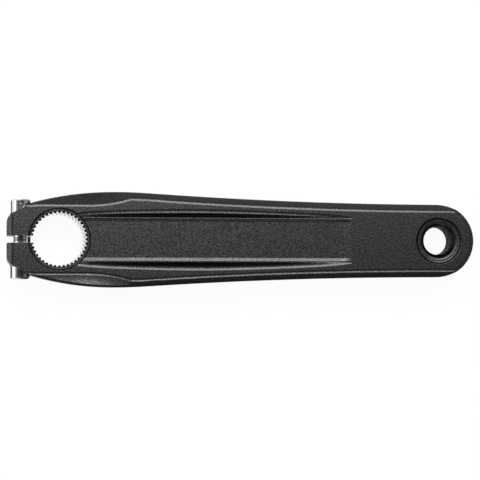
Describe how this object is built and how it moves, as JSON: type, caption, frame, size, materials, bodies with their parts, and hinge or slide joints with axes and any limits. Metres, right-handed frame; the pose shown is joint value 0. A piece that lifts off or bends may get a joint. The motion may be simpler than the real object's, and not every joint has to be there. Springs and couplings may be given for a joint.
{
  "type": "bicycle crank arm",
  "caption": "Forged left bicycle crank arm with a splined, split pinch clamp for the spindle, a grooved and bevelled outer face and a threaded pedal eye.",
  "frame": {"origin": "on the spindle axis, half way through the clamp", "axes": "+X from the spindle axis to the pedal axis, +Z along the spindle towards the outer face, which lies up"},
  "size_m": [0.209, 0.0422, 0.0206],
  "materials": {
    "arm": "satin",
    "bolt": "gloss",
    "washer": "satin",
    "plate": "matte"
  },
  "bodies": {
    "arm": {"crank_arm": "arm", "upper_pinch_bolt": "bolt", "lower_pinch_bolt": "bolt", "upper_bolt_washer": "washer", "lower_bolt_washer": "washer"},
    "stopper": {"stopper_plate": "plate"}
  },
  "joints": [
    {"name": "stopper_swing", "type": "hinge", "parent": "arm", "child": "stopper", "pos_m": [-0.0167, 0, -0.0044], "axis": [0, 1, 0], "range_deg": [0, 20]}
  ]
}
